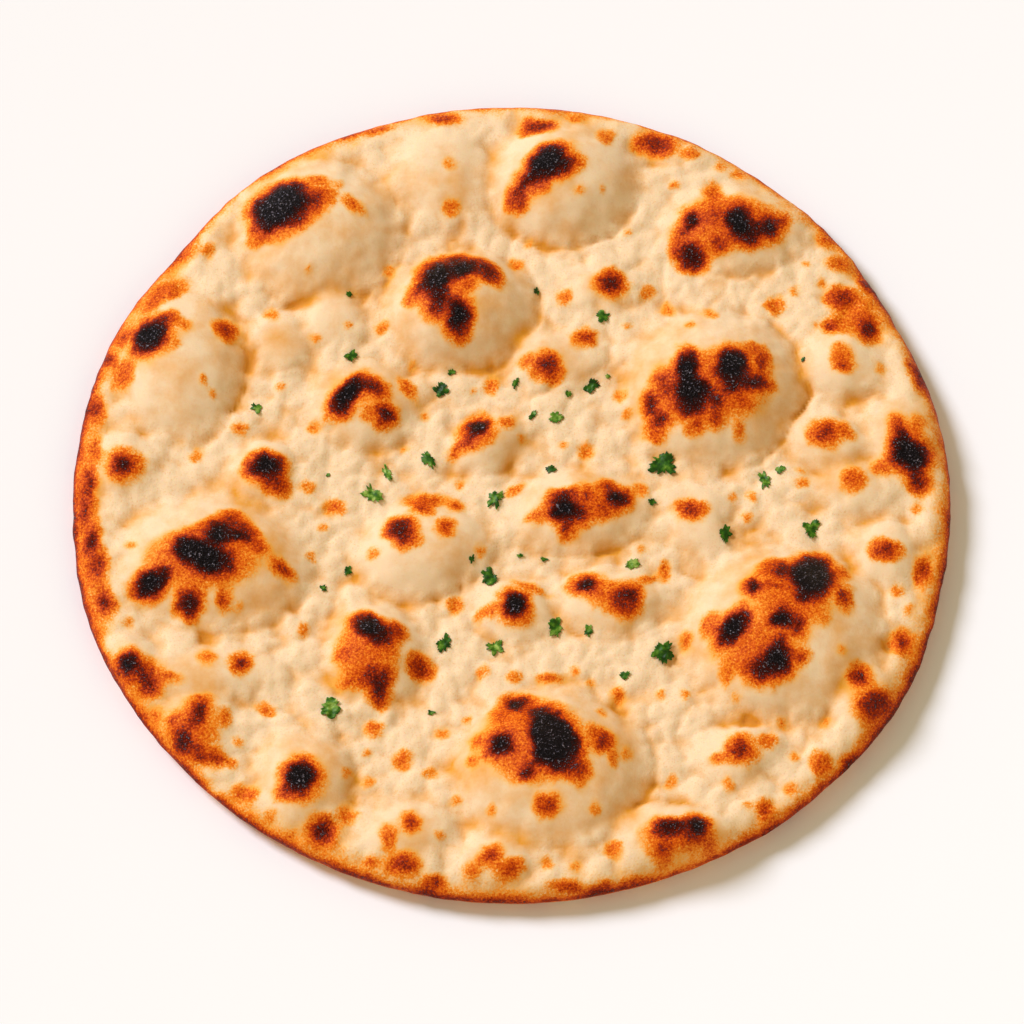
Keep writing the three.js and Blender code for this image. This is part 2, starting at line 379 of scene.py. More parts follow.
DARK = [
    (-55, 82.6, 3.2, 2.2, 0), (-52.6, 78.4, 2.4, 4, 0), (-61.4, 71.8, 3.4, 1.8, 0),
    (-56.4, 73.8, 3.4, 2.4, 0), (-88.2, 43, 1.9, 4, -15), (4.4, 84.4, 3.6, 2, 48),
    (11.8, 88.8, 2.8, 3.3, 0), (10, 85.8, 3.2, 1.7, 25), (-14.4, 63.2, 3.2, 2.3, 10),
    (-17.6, 51.4, 3, 2.8, 0), (-10.4, 60.4, 2.2, 2.6, 0), (-35.2, 28.6, 2.8, 2, -35),
    (-42.6, 22.6, 2.4, 2.2, 45), (-31.5, 21, 2.2, 2.6, 0), (-59.2, 6.4, 2.3, 2.5, -40),
    (-65, 5.8, 1.7, 1.2, 0), (-97.6, 7.6, 2.2, 2.4, 0), (-8.7, 17.6, 2.7, 3.5, -15),
    (59.6, 70.4, 2.8, 3.3, -20), (61.6, 72.2, 1.6, 1.7, 0), (43, 71.8, 1.4, 1.3, 0),
    (44.6, 66.2, 3.4, 3.1, -30), (64, 71.6, 2, 1.4, 0), (44.4, 20.8, 3.8, 1.9, 0), (51.2, 23, 2.4, 2.1, 0),
    (60.6, 27.8, 4, 2.6, -8), (55.6, 26.8, 3.3, 1.9, 0), (34.9, 23.4, 1.8, 2.7, 15),
    (36.6, 19.2, 2.3, 2.3, 0), (25, 57.7, 3.2, 3, 0), (97.4, 16, 1.8, 2.6, 30), (101.6, 4.4, 2.4, 3, 20),
    (89, 46, 2.4, 3.3, 0), (80.4, 46.8, 1.5, 1.4, 0),
]
BROWN = [
    (-49.6, 78.6, 2.5, 3.6, 0), (-53.6, 72.6, 2.5, 2.1, 0), (-65.4, 7.4, 1.9, 2.4, 0),
    (-87, 46.8, 3, 1.9, 30), (-71.4, 44.9, 2.6, 2.5, 0), (-100.6, 37.6, 1.8, 3, 20),
    (-97.4, 43.6, 1.5, 2.4, -30), (-104, 24.6, 1.9, 3.4, 0), (-97, 8.3, 3.5, 3.6, 0),
    (-41, 100.3, 3, 1.4, 25), (-17, 104.3, 3.6, 1.6, 0), (6.6, 101, 3.4, 2.2, 0), (36, 97.2, 5, 3.6, -20),
    (15.2, 89, 2.5, 2.8, -45), (1.8, 80.2, 2.5, 3.4, 0), (12.8, 86, 2.3, 1.8, 0), (9.6, 92.6, 4.4, 1.8, 15),
    (-8.2, 60, 4.8, 3.9, -28), (-4.9, 58.2, 4.2, 2.7, -58), (-13, 45, 3.6, 4.4, 0),
    (-19.2, 48.6, 2.8, 3, 0), (-22.6, 55.5, 2.4, 4.5, 0), (-11, 54.4, 1.3, 1.3, 0),
    (-33, 26.8, 2.3, 1.9, -40), (-31.6, 20.4, 2.8, 3, 0), (-59.2, 2.8, 3.8, 2.8, -25),
    (-11.4, 13.8, 1.7, 3, -38), (18.3, 42.8, 2.3, 2.6, 0), (9.4, 34.6, 3.1, 3.1, 0),
    (45.4, 65, 3.9, 3.6, 0), (52, 67.6, 2.2, 2.2, 0), (67.8, 74.6, 1.8, 2.5, -20),
    (37.6, 29.8, 2.1, 1.8, 0), (38.4, 26.4, 1.9, 2.4, 0), (51.3, 18.4, 1.8, 2.5, 0), (46, 16.8, 2, 2, 0),
    (62.6, 33.6, 1.9, 3.6, 0), (78.6, 16.2, 2.5, 2.8, 0), (83.6, 34.6, 1.8, 1.7, 0),
    (96.6, 18.6, 2.1, 2.7, 20), (101.6, 33.6, 1.5, 4.8, 28), (82.5, 54.5, 3.6, 2.6, 0),
    (89.2, 59, 2.2, 4, 40),
]
ORANGE = [
    (-46.6, 79.4, 2.4, 3.8, 10), (-25.4, 52.4, 1.9, 3, 0), (41.2, 68.6, 2, 3.8, 0),
    (-103.8, 13, 1.9, 4.6, 0), (-48.4, 84.6, 3.2, 1.7, -20), (-62, 69.4, 4.4, 1.5, 10),
    (-39.8, 77.6, 3.4, 1.6, -40), (-84, 46.8, 3.2, 1.8, -30), (-81.2, 45, 1.3, 1.5, 0),
    (-86, 56.4, 5, 3.2, 20), (-90.6, 53, 3.6, 2.3, 50), (-82.7, 67.6, 2.4, 2.6, 40),
    (-97, 33, 2.6, 4.4, -12), (-34, 101.6, 4.4, 1.7, 15), (-15.6, 78.6, 2, 2.1, 0),
    (-0.4, 80.2, 1.9, 3.2, 0), (7.4, 82.2, 3, 2, 38), (23.5, 98, 2, 1.9, 0), (16.2, 104.2, 2, 1.4, 0),
    (6.4, 100.8, 4.9, 3.1, 0), (44.5, 94.2, 2.2, 2, 0), (1.2, 63.8, 1.9, 1.5, -25), (13, 53.8, 1.8, 1.8, 0),
    (50.6, 82.4, 2.6, 4, 10), (50.6, 75.6, 3.4, 3.2, 0), (79, 70.8, 2.4, 2.2, 0), (82, 64.5, 3.4, 2.4, 0),
    (65.8, 52.4, 2.3, 2.4, 0), (60.6, 37, 3.6, 2.8, -35), (57.4, 22.8, 1.8, 2.3, 0),
    (57, 15.8, 1.4, 2.1, 0), (36, 15.8, 3, 1.6, 0), (82.5, 36.8, 2.9, 3.6, -20), (-36, 21, 1.8, 1.8, 0),
    (-26.4, 28.8, 3.8, 1.6, -55), (-44.3, -3, 2.6, 2, 10), (-5, 15, 1.9, 2, 0),
    (-14.2, 11.4, 1.6, 2.4, -35), (-1.3, 19.6, 2.4, 2.2, 0), (-5.2, 30.6, 2, 2.2, 0),
    (8.4, 34.6, 4.2, 4, 0), (3.6, 36.4, 1.8, 1.4, 20), (-77, 30, 1, 1, 0), (75.2, 15.6, 2, 2.4, 0),
    (83.4, 17.4, 1.9, 2.8, 20), (85.2, 3.6, 3.2, 3.3, -40), (101.6, 18.8, 1.5, 3, 0),
    (92.6, 7.6, 2.7, 2.5, 0), (101.5, 33, 1.8, 4.4, 15),
]
print(len(CHAR), "char,", len(DARK), "dark,", len(BROWN), "brown,", len(ORANGE), "orange at the back")

# %% Marks on the front half
CHAR += [
    # left
    (-80.6, -17, 3.9, 3.3, -20), (-76.2, -19.4, 4.6, 3.8, -42), (-73.2, -12.9, 2.9, 3.2, 0),
    (-68.6, -12.8, 2.4, 1.5, -35), (-89.8, -25, 4.2, 3.1, 25), (-95.8, -46.6, 1.4, 2.2, 0),
    # middle
    (-35.6, -37.6, 4.3, 2.5, -24), (12.8, -5.4, 2.4, 2.4, 0), (26, -2.2, 2.3, 2.1, 0),
    (0.8, -30.8, 2.4, 2.7, 0), (18.7, -25.5, 1.4, 1.5, 0),
    # right
    (74.9, -24.2, 5.4, 5.9, 0), (54.9, -38.6, 4.7, 3.1, 45), (67.2, -36.8, 2.2, 2.4, 0),
    (66.4, -46.6, 3.2, 3, 0), (60.2, -27.8, 1.5, 1.5, 0),
    # front
    (10.2, -68.6, 8.4, 5.2, -64), (8.4, -74.2, 3.3, 3, 0), (1.2, -57.9, 2.4, 2.1, 0),
    (-3, -70.2, 2.6, 2.7, 0), (-52.8, -78.2, 3.2, 3.6, 0), (46, -91.4, 2.3, 2.6, 0),
]
DARK += [
    (-71, -21, 2.4, 3.4, 0), (-80.4, -29.8, 2.6, 2.9, 0), (-105, -12, 2, 4, 0), (-101.8, -29, 1.7, 2.8, 0),
    (-95.2, -46.2, 2.8, 3.2, 0), (-67.5, -46, 2, 1.9, 0), (-78.2, -59.6, 2.8, 2.6, 0),
    (-81.8, -66.6, 3.2, 2.7, -25), (-73.6, -71.4, 1.6, 1.5, 0), (-32.6, -41, 3.2, 2.4, -20),
    (-33.4, -53.2, 1.9, 2.6, -20), (13.4, -4.6, 4.1, 3.9, 0), (17, -6.8, 2.2, 1.9, -20),
    (14.2, -10.2, 1.6, 2.2, -20), (28.4, -1.8, 1.4, 1.9, 0), (0.9, -31.2, 3.4, 4, 0),
    (29.4, -27.8, 2.3, 2.2, 30), (-28, -10.8, 3.3, 3.2, -35), (73.6, -30.4, 3.5, 2.5, 0),
    (67.6, -22.4, 2, 2.5, -30), (71.2, -38.8, 2, 2.8, 0), (63.6, -49.4, 5.4, 4, 0),
    (83, -29.8, 1.7, 2.7, 0), (86.8, -50.2, 2.2, 2.1, 0), (-0.8, -72.4, 1.9, 1.7, -30),
    (6.4, -61.4, 2.8, 2.2, 0), (15.4, -70.4, 2.4, 3, 0), (3.4, -78, 1.7, 1.7, 0),
    (10.8, -77.4, 3.2, 1.9, -10), (-52.4, -77.6, 4.2, 4.4, 0), (-47, -91.4, 3, 3, 0),
    (39, -92, 3.6, 2.2, 0),
]
BROWN += [
    (-70, -9, 3.4, 2.3, -20), (-66.2, -11.2, 3.4, 2.2, -50), (-63.4, -16, 2.8, 1.9, -45),
    (-57.4, -21.4, 3.3, 1.9, -40), (-80.4, -30.4, 3.2, 3.6, 0), (-72, -29.8, 1.6, 2.2, 0),
    (-103.4, -19, 2.2, 4, 10), (-92, -48.6, 3.4, 2.4, -45), (-90.4, -51.8, 3.4, 2.8, -30),
    (-85.8, -50.4, 2.2, 0.9, 0), (-79, -62.6, 2.5, 1.9, 0), (-78, -69.2, 3, 1.9, -35),
    (-77.2, -71.4, 2.8, 1.3, -20), (-84.6, -61.8, 1.5, 2.3, -20), (-28.9, -38.6, 2.6, 2.8, 0),
    (-37, -34.6, 3.2, 1.5, -20), (-34, -50.8, 4.3, 2.9, 0), (-33, -54.8, 2.6, 2.9, 0),
    (-22.8, -47, 2.8, 3, 0), (-27, -14, 2.2, 2.2, 0), (-22.2, -4.4, 2.6, 2, 0), (-16.6, -10.3, 2.1, 2.3, 0),
    (-14, -3, 1.4, 1.5, 0), (13.6, -1, 3.4, 1.7, 0), (24, 1.4, 2.5, 2, -20), (19.2, -1.8, 1.5, 2.6, 0),
    (28.4, -30.2, 4, 4.1, 30), (44.8, -4.4, 3.6, 2.7, 0), (65.6, -27.6, 3.2, 1.1, -5),
    (72.3, -46.8, 1.8, 1.9, 0), (75.2, -18, 3.2, 2.4, 0), (14.6, -77, 4.5, 3.6, -20),
    (3.3, -78.2, 2.6, 2.3, 0), (22.6, -70, 2.3, 3, -20), (8.9, -86.6, 2.8, 2.6, 0),
    (19.5, -25.5, 2.8, 2.6, 0), (-25.2, -90.3, 2.1, 2.4, 0), (-27.3, -100.4, 3.8, 2.6, 0),
    (-5.3, -99, 2.6, 2.6, 0), (-0.6, -102, 3, 2, 20), (37.6, -97.2, 2.8, 2.3, 0),
    (57.2, -70.3, 3.6, 3.3, 0), (93.7, -15.7, 3.8, 2.6, 0), (102.6, -20.2, 2.1, 3.8, 0),
    (63.3, -85.2, 1.9, 2.3, 0), (67, -43, 2.6, 2, 0), (90.6, -57, 5.2, 3.4, 50),
    (84.6, -72.4, 2.6, 3.6, -40), (97.4, -40.2, 2.4, 2.6, 0), (13.6, -106, 3.8, 1.3, 0),
    (21.5, -106.2, 3.8, 1.2, 8), (-19.8, -105.2, 3, 1.7, 0), (40.5, -92, 5, 2.8, 0), (-105.6, 4, 1.6, 5, 0),
    (-106.6, -3, 1.3, 4, 0), (-55.8, -82, 2.6, 2, 0),
]
ORANGE += [
    (-69.4, -6.8, 3.6, 1.6, -20), (-78, -11, 4.2, 1.8, 25), (-42, -44.4, 2.8, 1.9, 20),
    (-40.6, -50.8, 3, 1.9, 10), (-24.4, -13.6, 2.2, 2.4, 0), (22.6, -5.4, 3.2, 1.6, 0),
    (65.4, -21.8, 4.2, 3, 15), (82.2, -21.8, 2.6, 2.2, -30), (49.4, -36.6, 2, 3.2, -20),
    (22, -68.6, 3.6, 4.2, 30), (25.2, -73.6, 1.3, 1.9, 0), (17.4, -79.2, 1.9, 3.2, 0),
    (-77.6, -56.2, 3.4, 1.9, 0), (4.8, -57.2, 2.5, 1.7, 0), (-103, -36.6, 1.5, 1.9, 0),
    (-70.6, -72.8, 1.8, 1.2, -30), (-6, -32, 3, 1.5, 20), (4.8, -25.4, 4.6, 1.1, -25),
    (33.8, -23.4, 2.4, 1.4, 50), (38, -20.4, 1.6, 2.6, 0), (32.4, 1.2, 2, 1.7, 0), (6.4, -7, 2.8, 1.9, 0),
    (53.6, -50, 1.5, 2.8, 0), (78, -36.7, 1.4, 1.5, 0), (-3, -61, 2.6, 2.8, 0), (-8.3, -68.6, 2, 2, 0),
    (-9.3, -74, 1.8, 1.8, 0), (49.6, -95.2, 2.2, 2, 0), (51.8, -72, 2, 1.5, 0), (63.8, -66.8, 2.4, 2.2, 0),
    (77.2, -73, 2.6, 3.6, 10), (-71.6, -61, 1.8, 2.2, 0), (-41.3, -87, 2.4, 2.2, 0),
    (-34.5, -63.6, 2.4, 2, 0), (-27.3, -71.6, 2.2, 2.2, 0), (43.3, -40, 1.9, 2.6, 0),
    (26.5, -54.3, 1.9, 1.9, 0), (9.5, -49.6, 2.9, 1.6, 0), (-14.2, -29.4, 2, 2, 0), (-76.3, -45, 2, 2, 0),
    (-60.8, -58, 2.6, 1.5, -25), (-66.2, -80.8, 2.8, 2.5, 0), (25.8, -96.6, 1.9, 1.9, 0),
    (-30.6, -94, 1.9, 3.4, 0), (-34.8, -99.6, 2.4, 1.4, 0), (-9.6, -102.2, 2, 1.7, 0),
    (0.6, 1.4, 2.3, 1.2, 40), (97.2, -39, 3, 3.1, 0), (31.5, -104.4, 5.6, 1.4, 12),
    (-21.5, -1.4, 6, 2.2, 0), (17.4, -25, 4.4, 3.2, 0), (-106, -21, 1.6, 3.4, 0), (-89, -60, 1.6, 2, 0),
]
print(len(CHAR) + len(DARK) + len(BROWN) + len(ORANGE), "marks in all")

# %% [markdown]
# Round each group of dark marks lies a broad orange glow, where the blister's top got hot but not enough
# to burn. Small freckles are scattered everywhere between them.

# %% Glows and freckles
GLOWS = [
    (-57.4, 77, 9.6, 8.4, 15), (-90, 42.4, 5.8, 6.6, -20), (7.4, 86.6, 8.8, 4.6, 46),
    (55, 73.5, 13.5, 7.8, 0), (49.5, 26.5, 15.5, 9.6, 5), (-38, 27.4, 6.8, 4.4, 10),
    (-61, 6, 4.8, 4.6, -30), (-77, -19, 14, 8.4, 0), (-36, -44, 8, 9.4, 0), (18, -4, 11, 5.4, 8),
    (0.6, -30.8, 4.6, 5, 0), (24, -28, 7.6, 4.6, -20), (70, -31, 9.2, 10.6, -25), (61, -44.6, 9.2, 7.8, 0),
    (66, -22.4, 5, 3.6, 20), (5.5, -69, 12.6, 12, 0), (-52.4, -78.4, 6, 6.2, 0), (-79, -64, 6, 6, 0),
    (41, -93.6, 8.6, 4.6, 8), (99.4, 12, 4.8, 7.4, 0), (79, 16.5, 4.6, 3.8, 0), (-9.4, 16.4, 3.8, 5, -30),
    (-92, -49, 5.8, 4.4, -35), (86, 50, 6, 6.4, -45), (89.8, -57, 5.6, 5.2, 50), (-96.5, 8, 4.5, 4.7, 0),
    (57, -70, 4.8, 4, 0), (-48, -91.4, 4.4, 4, 0), (-17, 54.6, 7, 9, 0), (-106.4, -3, 3, 15, 2),
    (-102.6, -26, 2.6, 8, 15),
]
FRECKLES = [  # x, y, radius
    (-43.6, 83.4, 1.1), (-76, 68, 2), (-84, 40, 1.2), (-60, 49.6, 2), (-49.5, 42.5, 1.2), (-41, 46, 1.2),
    (-32.5, 46, 1.8), (-58, 30, 1.4), (-74.5, 27, 1.1), (-67.8, 18.7, 2), (-31, 62, 1.6), (-79, 11.3, 1.6),
    (-15.5, 90, 1.4), (16.8, 81, 1.2), (22.8, 82, 0.9), (29, 72.6, 1), (40.8, 86, 1.4), (56.8, 88.7, 1.8),
    (52.8, 91.3, 1.1), (73.5, 63.6, 0.9), (70.8, 56.7, 1.4), (77.3, 58.6, 1.4), (76, 47.3, 1.1),
    (92.3, 35, 1.3), (44.8, 45.4, 1.4), (49.8, 49.2, 1.7), (39.3, 51.5, 1.8), (33.5, 55.8, 1.7),
    (29.3, 46.8, 1), (27, 27.6, 1.4), (29, 22.2, 1.5), (18.3, 12.4, 2), (13, 14, 1.3), (-21.8, 21.8, 1.3),
    (-26.8, 13, 0.9), (-51.5, 2, 1.9), (-50.3, -16.6, 1.2), (-47, -9, 1.2), (-49.5, 18.7, 1.7),
    (-9.8, 28.6, 0.9), (2.8, 15, 1.1), (-34.5, -17, 1.5), (-12.8, 3.5, 1.1), (-7.8, -15.5, 1.2),
    (32.5, -14.4, 1.2), (55.3, -0.3, 1.1), (60, 0, 1.3), (58.8, -5, 1.3), (-67.8, -31.5, 0.9),
    (-52.3, -36.6, 1.7), (-94.8, -13.6, 1.4), (-95.3, -34.5, 1.3), (-68, -67, 1.2), (-11, -61.3, 1.3),
    (-17.5, -64.5, 1.7), (-35.5, -77.8, 1.4), (-35.8, -69.8, 1.2), (-41.3, -76.3, 1.3), (-20.5, -75.6, 1.7),
    (-14, -83, 1.3), (-18, -93, 1.4), (-55.5, -92, 1.6), (-60.3, -87.3, 1.4), (-35.5, -99.8, 1.5),
    (22.8, -60, 1.4), (15.3, -47.8, 1.3), (0.5, -49.5, 1.6), (20, -50.8, 1.1), (-7.3, -47.6, 1.6),
    (28.8, -72, 1.4), (21, -86.8, 1.4), (-4.8, -86.8, 1.4), (8.3, -100, 1.6), (16, -101, 1.6),
    (40, -77.3, 1.3), (53.8, -78.6, 1.3), (59, -84.6, 1.2), (70.3, -70.7, 1.4), (69.8, -79.5, 1.8),
    (67.3, -61.4, 1.3), (78.3, -61.4, 1.4), (55.8, -55.4, 0.9), (43.3, -54, 1.4), (37.3, -54, 1.2),
    (82.5, -44, 1.1), (72.3, 3.4, 1.6), (72.3, 7, 0.9), (101.3, -3, 1.4), (96.5, -25.4, 1.8),
    (98.8, -31, 1.1), (-51, 60, 0.9), (4, 70, 0.9), (-25, 36, 0.9), (-84.4, 39.4, 1.1),
]
print(len(GLOWS), "glows,", len(FRECKLES), "freckles")

# %% [markdown]
# A mark's edge is a smooth step. Its strength is 1 inside and falls over about a millimetre outside, and
# overlapping marks add up softly, so close ones run together. The place where a mark is looked up is first
# pushed about by noise, which turns the plain ellipses into ragged burns.

# %% Toast the crust
UNION = 3.0  # how softly overlapping marks add up
ragged_x = pushed(x, (1.1, 5.5, 21.0), (0.55, 1.9, 22.0))
ragged_y = pushed(y, (1.1, 5.5, 23.0), (0.55, 1.9, 24.0))


def mark_strength(marks, fade):
    """Sum, to the power UNION, of the strengths of a list of marks at every point."""
    total = np.zeros(x.shape)
    for mark in marks:
        half_length, half_width = mark[2:4]
        outside = (way_out(ragged_x, ragged_y, *mark) - 1) * math.sqrt(half_length * half_width)  # in mm
        total += (1 / (1 + np.exp(np.clip(outside / fade, -30, 30)))) ** UNION
    return total


freckle_marks = [(a, b, radius, radius, 0) for a, b, radius in FRECKLES]
MARKS = (  # a list of marks, how toasted their middles are, how far their edges fade in mm
    (CHAR, 1.4, 1.3),
    (DARK, 0.92, 1.15),
    (BROWN, 0.72, 1.0),
    (ORANGE, 0.50, 0.85),
    (freckle_marks, 0.40, 0.7),
    (GLOWS, 0.44, 1.4),
)
toast = sum(heat**UNION * mark_strength(marks, fade) for marks, heat, fade in MARKS) ** (1 / UNION)
print("toast up to", round(float(toast.max()), 2))

# %% [markdown]
# The rim faces the oven wall's heat from the side, so a browned band runs all round it, deeper on some
# sides than on others. The underside lay on the hot wall: it is baked to a pale gold, with brown patches
# where it touched hardest.

# %% Toast the rim and the underside
RIM_BROWNING = [  # degrees, extra heat, spread in degrees
    (3, 0.22, 22), (-28, 0.42, 18), (-62, 0.12, 14), (-100, 0.20, 16), (-140, 0.26, 20), (178, 0.44, 24),
    (148, 0.34, 14), (118, 0.26, 14), (88, 0.22, 14), (52, 0.20, 16), (33, 0.30, 10),
]
LEAST_RIM_HEAT = 0.46
UNDERSIDE_HEAT = 0.06  # between the patches
HOTTEST_RIM = 0.8  # the rim browns but never chars
GOLDEN_BAND = (0.89, 1.0)  # where the band starts and is full, as parts of the flat sheet's radius
CRISP_EDGE = (0.955, 0.99)


def part_way(value, start, end):
    """0 below start, 1 above end, straight between."""
    return np.clip((value - start) / (end - start), 0, 1)


def never_charred(heat):
    """Heat that levels off softly at the hottest that the rim gets."""
    return HOTTEST_RIM * np.tanh(np.clip(heat, 0, 2) / HOTTEST_RIM)


rim_heat = LEAST_RIM_HEAT + sum(heat * near_angle(degrees, a, spread) for a, heat, spread in RIM_BROWNING)
patchy = 1 + 0.6 * grain(x, y, 9, 31.0 + z / 9) + 0.4 * grain(x, y, 3.5, 32.0 + z / 3.5)
golden_band, crisp_edge = part_way(flat_reach, *GOLDEN_BAND), part_way(flat_reach, *CRISP_EDGE)
across_rim = 0.55 * golden_band**1.5 + 0.5 * crisp_edge**1.6  # slow over the band, fast at its edge
rim_toast = never_charred(rim_heat * patchy * across_rim + 0.25 * crisp_edge**6)
broad, small = (np.clip(grain(x, y, *layer), 0, 1) for layer in ((15, 41.0, 3), (5, 42.0)))
heel_band = np.clip(1.4 * (1 - crown), 0, 1)  # the browned side reaches under the widest line
under_toast = (UNDERSIDE_HEAT + 0.62 * broad + 0.4 * small) * (1 - heel_band)
under_toast = under_toast + never_charred(rim_heat * patchy) * heel_band
toast = np.where(is_crust, (toast**UNION + rim_toast**UNION) ** (1 / UNION), under_toast)
print("rim heat from", round(float(rim_heat.min()), 2), "to", round(float(rim_heat.max()), 2))

# %% [markdown]
# The finish needs two more maps beside the toast. One says where a blister's skin is stretched. The other
# says how hollow each place is: the height of the dough around it less its own. The finish paints shade
# from it, golden and tan in the hollows and creases, where real shade would fall.

# %% Store the maps that the crust's finish reads
HOLLOW_REACH = 4.0  # how far around a place its neighbours are, in mm
FULLY_HOLLOW = 1.6  # this far under its neighbours counts as 1, in mm

eight_ways = np.arange(8) * math.pi / 4
around = [(HOLLOW_REACH * math.cos(a), HOLLOW_REACH * math.sin(a)) for a in eight_ways]
nearby = sum(thickness(warp_x + dx, warp_y + dy) for dx, dy in around) / len(around)
# how far each place lies under its neighbours, which the finish turns into painted shade in hollows and
# creases
hollow_shade = np.where(is_crust, np.clip((nearby + swell - z_top) / FULLY_HOLLOW, -1, 1), 0)


def store(mesh, name, values):
    """Stores one number per point on a mesh, for a material to read."""
    layer = mesh.attributes.new(name, "FLOAT", "POINT")
    layer.data.foreach_set("value", np.asarray(values, dtype=np.float32))


store(skin, "toast", toast)
store(skin, "stretched", np.where(is_crust, skin_of_blister, 0))
store(skin, "hollow_shade", hollow_shade)
skin.shade_smooth()
bread = bpy.data.objects.new("baked_bread", skin)
bpy.context.collection.objects.link(bread)
print("hollows from", round(float(hollow_shade.min()), 2), "to", round(float(hollow_shade.max()), 2))

# %% [markdown]
# ## Finishes
# The crust's finish reads the toast map through one colour ramp. Fine noise is added to the toast before
# the ramp, so the change from cream to black breaks into specks, as flour and tiny bubbles make it do.
# The mottle that does this is a node group, because the herb uses it as well. It is built with a few
# helpers, which keep each node on one line.

# %% Node helpers
def linear(r, g, b):
    """A colour as seen on a screen, 0 to 255, as the linear colour that nodes use."""
    seen = (r / 255, g / 255, b / 255)
    return tuple(c / 12.92 if c <= 0.04045 else ((c + 0.055) / 1.055) ** 2.4 for c in seen) + (1,)


def add(tree, kind, inputs=(), **settings):
    """Adds a node, sets its properties, then its inputs: a socket is linked, a value is set."""
    made = tree.nodes.new(kind)
    for key, value in settings.items():
        setattr(made, key, value)
    for key, value in dict(inputs).items():
        if isinstance(value, bpy.types.NodeSocket):
            tree.links.new(value, made.inputs[key])
        else:
            made.inputs[key].default_value = value
    return made


def math_node(tree, operation, a, b=0.0, c=0.0, clamp=False):
    """One sum. MULTIPLY_ADD gives a times b plus c."""
    return add(tree, "ShaderNodeMath", {0: a, 1: b, 2: c}, operation=operation, use_clamp=clamp).outputs[0]


def step_node(tree, value, start, end):
    """0 below start, 1 above end, smooth between."""
    made = add(tree, "ShaderNodeMapRange", {"Value": value, "From Min": start, "From Max": end},
               interpolation_type="SMOOTHSTEP")
    return made.outputs["Result"]


def blend_node(tree, factor, a, b):
    """Colour a at a factor of 0, colour b at 1. Each is a socket or a plain colour."""
    made = add(tree, "ShaderNodeMix", {"Factor": factor}, data_type="RGBA")
    for socket, value in ((made.inputs[6], a), (made.inputs[7], b)):
        if isinstance(value, bpy.types.NodeSocket):
            tree.links.new(value, socket)
        else:
            socket.default_value = value
    return made.outputs[2]


def ramp_node(tree, value, stops):
    """Colours a value from 0 to 1 by a list of stops, each a place and a colour."""
    made = add(tree, "ShaderNodeValToRGB", {"Fac": value})
    stop = made.color_ramp.elements
    while len(stop) < len(stops):
        stop.new(0.5)
    for element, (position, colour) in zip(stop, stops):
        element.position, element.color = position, colour
    return made.outputs["Color"]


# %% The shared mottle group
mottle = bpy.data.node_groups.new("mottle", "ShaderNodeTree")
for name, usual in (("Scale", 900.0), ("Roughness", 0.6)):
    socket = mottle.interface.new_socket(name, in_out="INPUT", socket_type="NodeSocketFloat")
    socket.default_value = usual
for name in ("Coarse", "Fine"):
    mottle.interface.new_socket(name, in_out="OUTPUT", socket_type="NodeSocketFloat")
inside = add(mottle, "NodeGroupInput")
where = add(mottle, "ShaderNodeTexCoord").outputs["Object"]
FINER = 1.6  # how much finer the fine noise is than the coarse one
finer = math_node(mottle, "MULTIPLY", inside.outputs["Scale"], FINER)
outside = add(mottle, "NodeGroupOutput")
for name, scale, detail in (("Coarse", inside.outputs["Scale"], 3.0), ("Fine", finer, 2.0)):
    specks = add(mottle, "ShaderNodeTexNoise", {
        "Vector": where, "Scale": scale, "Detail": detail, "Roughness": inside.outputs["Roughness"],
    })
    mottle.links.new(specks.outputs["Fac"], outside.inputs[name])
print("mottle group:", len(mottle.nodes), "nodes")

# %% How a material starts and ends
def new_material(name):
    """An empty material and its node tree."""
    material = bpy.data.materials.new(name)
    material.use_nodes = True
    material.node_tree.nodes.clear()
    return material, material.node_tree


def finish_shader(tree, colour, roughness, height, bump, depth, sockets):
    """Ends a material: a Principled shader with bump. What is the same all over goes on its own sockets."""
    relief = add(tree, "ShaderNodeBump", {"Height": height, "Strength": bump, "Distance": depth})
    shader = add(tree, "ShaderNodeBsdfPrincipled", {
        "Base Color": colour, "Roughness": roughness, "Normal": relief.outputs["Normal"], **sockets,
    })
    add(tree, "ShaderNodeOutputMaterial", {"Surface": shader.outputs["BSDF"]})


# %% [markdown]
# The crust's finish starts with the heat of each place: its toast, pushed up and down by the mottle wherever
# the dough is warm at all. From then on every colour depends on that heat.

# %% The crust's finish: how hot each place got
COARSE_PUSH, FINE_PUSH = 0.55, 0.6  # how much the two noises move the toast, from end to end
WARM = (0.06, 0.40)  # the mottle starts and is full at these values of toast
crust, tree = new_material("baked_crust")
toast_map = add(tree, "ShaderNodeAttribute", attribute_name="toast").outputs["Fac"]
stretch_map = add(tree, "ShaderNodeAttribute", attribute_name="stretched").outputs["Fac"]
hollow_shade_map = add(tree, "ShaderNodeAttribute", attribute_name="hollow_shade").outputs["Fac"]
specks = add(tree, "ShaderNodeGroup", {"Scale": 1300.0, "Roughness": 0.6}, node_tree=mottle)

warm = step_node(tree, toast_map, *WARM)
coarse_push = math_node(tree, "MULTIPLY_ADD", specks.outputs["Coarse"], COARSE_PUSH, -COARSE_PUSH / 2)
fine_push = math_node(tree, "MULTIPLY_ADD", specks.outputs["Fine"], FINE_PUSH, -FINE_PUSH / 2)
push = math_node(tree, "MULTIPLY", math_node(tree, "ADD", coarse_push, fine_push), warm)
heat = math_node(tree, "ADD", toast_map, push)
heat_on_ramp = math_node(tree, "MULTIPLY", heat, 0.8)  # so that a ramp spans a heat of 0 to 1.25
print("heat:", len(tree.nodes), "nodes")
